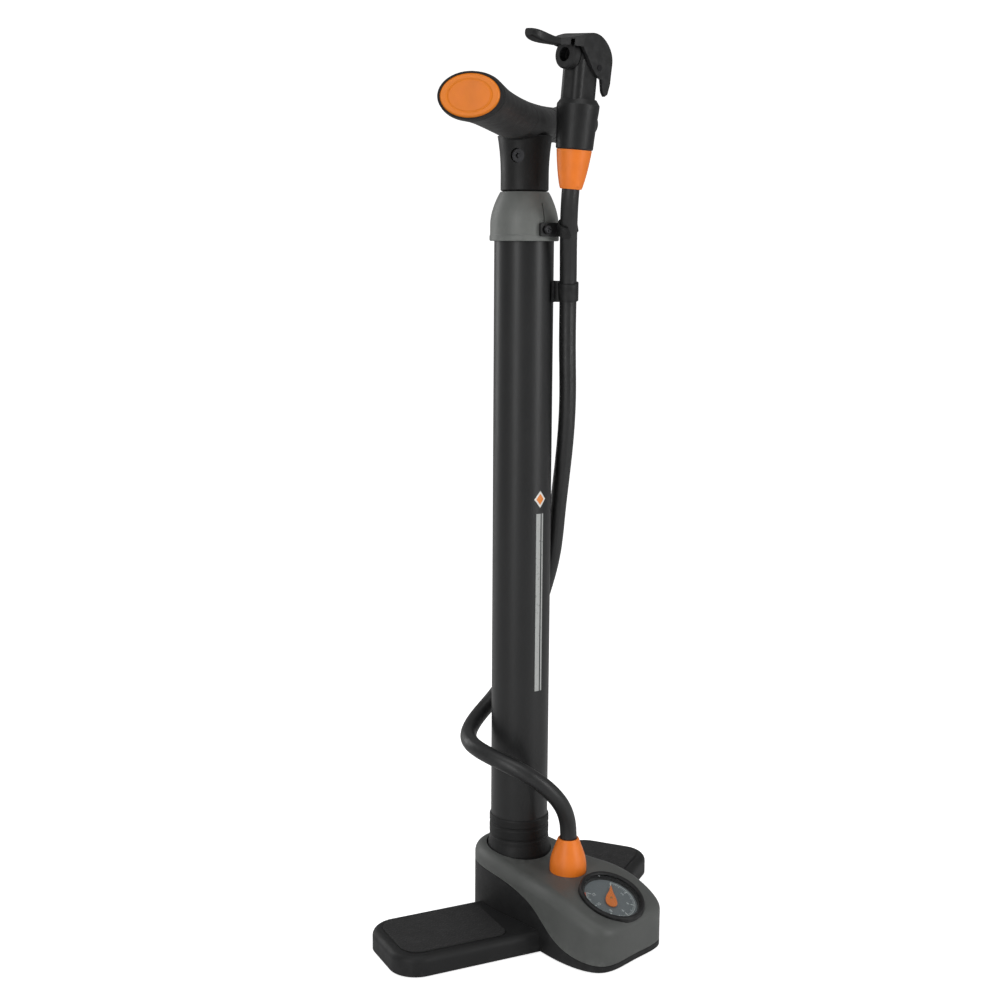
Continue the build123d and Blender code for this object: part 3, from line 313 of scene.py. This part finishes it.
moulded("base_plastic", (0.0075, 0.0077, 0.008), rough=0.54, grain=1300.0, relief=0.25,
        wear=0.2, spec=0.32)
moulded("cover_plastic", (0.074, 0.078, 0.074), rough=0.50, grain=1300.0, relief=0.30,
        wear=0.3, vary=0.10)
moulded("collar_plastic", (0.142, 0.149, 0.141), rough=0.48, grain=1300.0, relief=0.28,
        wear=0.25, vary=0.08)
metal("black_steel", (0.035, 0.035, 0.037), rough=0.38, brushed=False)
rubber("tread_rubber", (0.0085, 0.0085, 0.0088), rough=0.64, grain=620.0, relief=0.4, pips=True)
rubber("sole_rubber", (0.012, 0.012, 0.012), rough=0.72)
metal("fixings", (0.16, 0.16, 0.165), rough=0.34)
barrel_paint()
moulded("inner_plastic", (0.50, 0.50, 0.47), rough=0.42, grain=1500.0, relief=0.15)
rubber("seal_rubber", (0.018, 0.018, 0.018), rough=0.5)
metal("spring_steel", (0.55, 0.55, 0.56), rough=0.2, brushed=False)
metal("brass_fittings", (0.60, 0.43, 0.17), rough=0.24)
moulded("boot_plastic", (0.88, 0.200, 0.011), rough=0.46, grain=1500.0, relief=0.18,
        wear=0.2, vary=0.06)
hose_rubber()
moulded("dial_face", (0.16, 0.17, 0.18), rough=0.55, grain=2200.0, relief=0.08,
        wear=0.0, vary=0.06)
moulded("needle_paint", (0.86, 0.20, 0.02), rough=0.35, grain=2600.0, relief=0.06,
        wear=0.1, vary=0.05)
lens()
moulded("clip_plastic", (0.008, 0.0082, 0.0085), rough=0.48, grain=1600.0, relief=0.2,
        wear=0.2, spec=0.35)
metal("rod_chrome", (0.78, 0.78, 0.80), rough=0.09, grain=2600.0)
moulded("handle_plastic", (0.009, 0.0091, 0.0092), rough=0.50, grain=1400.0, relief=0.25,
        wear=0.2, spec=0.35)
rubber("grip_rubber", (0.0085, 0.0084, 0.0085), rough=0.62, grain=780.0, relief=0.22, pips=True)
cap_plastic()
moulded("head_plastic", (0.0078, 0.008, 0.0083), rough=0.44, grain=1500.0, relief=0.2,
        wear=0.2, spec=0.38)

# Each piece wears the material named after its slot, except these.
slot_of = {part["node"]: part["material_slot"] for part in frame["record"]["subparts"]}
LOOKS = {"top_collar": "collar_plastic", "handle_bolt": "black_steel",
         "handle_nut": "black_steel", "clip_screw": "black_steel", "lever_pin": "black_steel"}
for name, piece in frame["nodes"].items():
    piece.data.materials.clear()
    piece.data.materials.append(MATERIALS[LOOKS.get(name, slot_of[name])])

dial_ink("dial_print", (0.62, 0.64, 0.64), (0.74, 0.75, 0.74))
dial_ink("dial_print_red", (0.62, 0.08, 0.03), (0.72, 0.12, 0.04))

# ------------------------------------------------------------------ gauge dial
# Sizes on the dial are in millimetres, and its angles in degrees.
DIAL_TILT = math.radians(22.0)
DIAL_RIGHT = Vector((1, 0, 0))
DIAL_UP = Vector((0, math.cos(DIAL_TILT), math.sin(DIAL_TILT)))
DIAL_NORMAL = Vector((0, -math.sin(DIAL_TILT), math.cos(DIAL_TILT)))
DIAL_CENTRE = Vector((0, -86.0, 39.4)) * MM
PRINT_BOTTOM, PRINT_TOP = -2.62, -2.50  # along the normal
ZERO_ANGLE = 43.0  # anticlockwise from the dial's right
SWEEP = 270.0  # clockwise from zero to full scale
RED_START = 210.0
RING_STEPS = 48
TICK_STEPS = 60
TICK_OUTER = 16.9
# every so many ticks, inner radius, half width
TICK_SIZES = ((10, 14.2, 0.34), (5, 15.0, 0.22), (1, 15.7, 0.13))
NUMBER_STEPS = 6
NUMBER_RADIUS, NUMBER_SIZE, NUMBER_EXTRUDE = 12.0, 3.3, 0.05


def on_dial(x, y, z):
    return DIAL_CENTRE + (DIAL_RIGHT * x + DIAL_UP * y + DIAL_NORMAL * z) * MM


def polar(radius, travel):
    """The dial point at a radius, travelled clockwise from zero."""
    angle = math.radians(ZERO_ANGLE - travel)
    return radius * math.cos(angle), radius * math.sin(angle)


def print_layers(outline):
    return [on_dial(x, y, z) for z in (PRINT_BOTTOM, PRINT_TOP) for x, y in outline]


def add_print(name, mesh, look):
    printed = bpy.data.objects.new(name, mesh)
    bpy.context.scene.collection.objects.link(printed)
    mesh.materials.append(MATERIALS[look])
    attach(printed, "base")


def add_print_mesh(name, verts, faces, look):
    mesh = bpy.data.meshes.new(name)
    mesh.from_pydata([tuple(vert) for vert in verts], [], faces)
    mesh.validate()
    add_print(name, mesh, look)


def tick_outline(index):
    inner, half = next(size for every, *size in TICK_SIZES if index % every == 0)
    out_x, out_y = polar(1.0, SWEEP * index / TICK_STEPS)
    corners = ((inner, half), (TICK_OUTER, half), (TICK_OUTER, -half), (inner, -half))
    return [(radius * out_x + side * out_y, radius * out_y - side * out_x)
            for radius, side in corners]


def add_ticks():
    verts, faces = [], []
    for index in range(TICK_STEPS + 1):
        outline = tick_outline(index)
        n = len(outline)
        tick = [tuple(range(n))[::-1], tuple(range(n, 2 * n))]
        tick += [(i, (i + 1) % n, n + (i + 1) % n, n + i) for i in range(n)]
        faces += [tuple(len(verts) + i for i in face) for face in tick]
        verts += print_layers(outline)
    add_print_mesh("dial_ticks", verts, faces, "dial_print")


def add_arc(name, inner, outer, start, look):
    """A thin printed arc from start to full scale."""
    travels = [start + (SWEEP - start) * i / RING_STEPS for i in range(RING_STEPS + 1)]
    outline = [polar(outer, travel) for travel in travels]
    outline += [polar(inner, travel) for travel in reversed(travels)]
    top = len(outline)
    faces = []
    for i in range(RING_STEPS):
        j = top - 1 - i  # the point on the inner edge across from i
        faces += [(top + i, top + i + 1, top + j - 1, top + j),
                  (i + 1, i, j, j - 1),
                  (i, i + 1, top + i + 1, top + i),
                  (j - 1, j, top + j, top + j - 1)]
    end = RING_STEPS
    faces += [(0, top, top + top - 1, top - 1), (end, end + 1, top + end + 1, top + end)]
    add_print_mesh(name, print_layers(outline), faces, look)


def add_number(step):
    value = 2 * step
    name = "dial_number_%d" % value
    text = bpy.data.curves.new(name, "FONT")
    text.body = str(value)
    text.size = NUMBER_SIZE * MM
    text.align_x = "CENTER"
    text.align_y = "CENTER"
    text.extrude = NUMBER_EXTRUDE * MM
    text.resolution_u = 3
    source = bpy.data.objects.new("tmp_number", text)
    bpy.context.scene.collection.objects.link(source)
    bpy.context.view_layer.update()
    depsgraph = bpy.context.evaluated_depsgraph_get()
    mesh = bpy.data.meshes.new_from_object(source.evaluated_get(depsgraph))
    bpy.data.objects.remove(source)
    x, y = polar(NUMBER_RADIUS, SWEEP * step / NUMBER_STEPS)
    axes = Matrix((DIAL_RIGHT, DIAL_UP, DIAL_NORMAL)).transposed().to_4x4()
    centre = on_dial(x, y, (PRINT_BOTTOM + PRINT_TOP) / 2)
    mesh.transform(Matrix.Translation(centre) @ axes)
    mesh.materials.clear()
    add_print(name, mesh, "dial_print")


add_ticks()
add_arc("dial_ring", inner=17.15, outer=17.5, start=0.0, look="dial_print")
add_arc("dial_red_band", inner=17.7, outer=18.6, start=RED_START,
        look="dial_print_red")
for step in range(NUMBER_STEPS + 1):
    add_number(step)

# ------------------------------------------------------------------ studio
# The studio is laid out in the camera's directions: right, level away from it, and up.
VIEW_ANGLE = math.radians(-46.5)
RIGHT = Vector((math.cos(VIEW_ANGLE), math.sin(VIEW_ANGLE), 0))
AWAY = Vector((-math.sin(VIEW_ANGLE), math.cos(VIEW_ANGLE), 0))
UP = Vector((0, 0, 1))
FLOOR_REACH = 6.0  # to each side and towards the camera
SWEEP_START, SWEEP_RADIUS = 3.2, 1.4  # the curve from floor to back wall
WALL_TOP = 5.0
# name, place (right, away, up), height aimed at, width, height, power
LIGHTS = (
    ("key_left", (-0.85, -1.55, 0.75), 0.32, 0.34, 1.5, 10),
    ("key_right", (1.75, -1.0, 0.75), 0.32, 0.5, 1.5, 14),
    ("rim_left", (-1.5, 0.9, 0.8), 0.3, 0.5, 1.4, 8),
    ("top", (0.1, -0.5, 2.0), 0.2, 1.2, 1.2, 9),
)


def at(right, away, up):
    return RIGHT * right + AWAY * away + Vector((0, 0, up))


def floor_paper():
    """Pale paper that glows to the camera alone."""
    mat = Shader("floor_paper")
    color = mat.ramp(mat.noise(scale=2.0), (0.84, 0.84, 0.84), (0.87, 0.87, 0.87))
    normal = mat.bump(mat.noise(scale=300.0), strength=0.05, distance=0.0002)
    paper = mat.principled(color, 0.8, normal)
    seen = mat.add("ShaderNodeLightPath").outputs["Is Camera Ray"]
    mat.feed(paper.inputs["Emission Color"], (1, 1, 1))
    mat.feed(paper.inputs["Emission Strength"], mat.math("MULTIPLY", seen, 0.78))


def add_floor():
    profile = [(-FLOOR_REACH, 0.0)]
    for degrees in range(0, 91, 6):
        turn = math.radians(degrees)
        profile.append((SWEEP_START + SWEEP_RADIUS * math.sin(turn),
                        SWEEP_RADIUS - SWEEP_RADIUS * math.cos(turn)))
    profile.append((SWEEP_START + SWEEP_RADIUS, WALL_TOP))
    verts = [tuple(at(side, away, up))
             for side in (-FLOOR_REACH, FLOOR_REACH) for away, up in profile]
    n = len(profile)
    mesh = bpy.data.meshes.new("floor")
    mesh.from_pydata(verts, [], [(i, n + i, n + i + 1, i + 1) for i in range(n - 1)])
    for face in mesh.polygons:
        face.use_smooth = True
    mesh.materials.append(MATERIALS["floor_paper"])
    floor = bpy.data.objects.new("studio_floor", mesh)
    bpy.context.scene.collection.objects.link(floor)


def add_light(name, place, aim_height, width, height, power):
    light = bpy.data.lights.new(name, "AREA")
    light.shape = "RECTANGLE"
    light.size, light.size_y = width, height
    light.energy = power
    lamp = bpy.data.objects.new(name, light)
    lamp.location = at(*place)
    lamp.rotation_mode = "QUATERNION"
    aim = Vector((0, 0, aim_height)) - at(*place)
    lamp.rotation_quaternion = aim.to_track_quat("-Z", "Y")
    bpy.context.scene.collection.objects.link(lamp)


def add_world():
    """White surroundings, brighter to the camera than as a light."""
    world = bpy.data.worlds.new("studio")
    bpy.context.scene.world = world
    world.use_nodes = True
    tree = world.node_tree
    background = tree.nodes["Background"]
    background.inputs[0].default_value = (1, 1, 1, 1)
    path = tree.nodes.new("ShaderNodeLightPath")
    level = tree.nodes.new("ShaderNodeMapRange")
    level.inputs["To Min"].default_value = 0.30
    level.inputs["To Max"].default_value = 0.98
    tree.links.new(path.outputs["Is Camera Ray"], level.inputs["Value"])
    tree.links.new(level.outputs["Result"], background.inputs[1])


def add_camera():
    pitch, roll = math.radians(9.46), math.radians(0.37)  # downward tilt, lean to the right
    data = bpy.data.cameras.new("camera")
    data.lens, data.sensor_width = 54.0, 36.0
    data.clip_start, data.clip_end = 0.05, 30.0
    camera = bpy.data.objects.new("camera", data)
    bpy.context.scene.collection.objects.link(camera)
    camera.location = at(-0.015, -1.016, 0.470)
    look = AWAY * math.cos(pitch) - UP * math.sin(pitch)
    level_top = AWAY * math.sin(pitch) + UP * math.cos(pitch)
    top = level_top * math.cos(roll) - RIGHT * math.sin(roll)
    axes = Matrix((look.cross(top), top, -look)).transposed()
    camera.rotation_mode = "QUATERNION"
    camera.rotation_quaternion = axes.to_quaternion()
    bpy.context.scene.camera = camera


floor_paper()
add_floor()
for light in LIGHTS:
    add_light(*light)
add_world()
bpy.context.scene.view_settings.view_transform = "Standard"
bpy.context.scene.view_settings.look = "None"
add_camera()
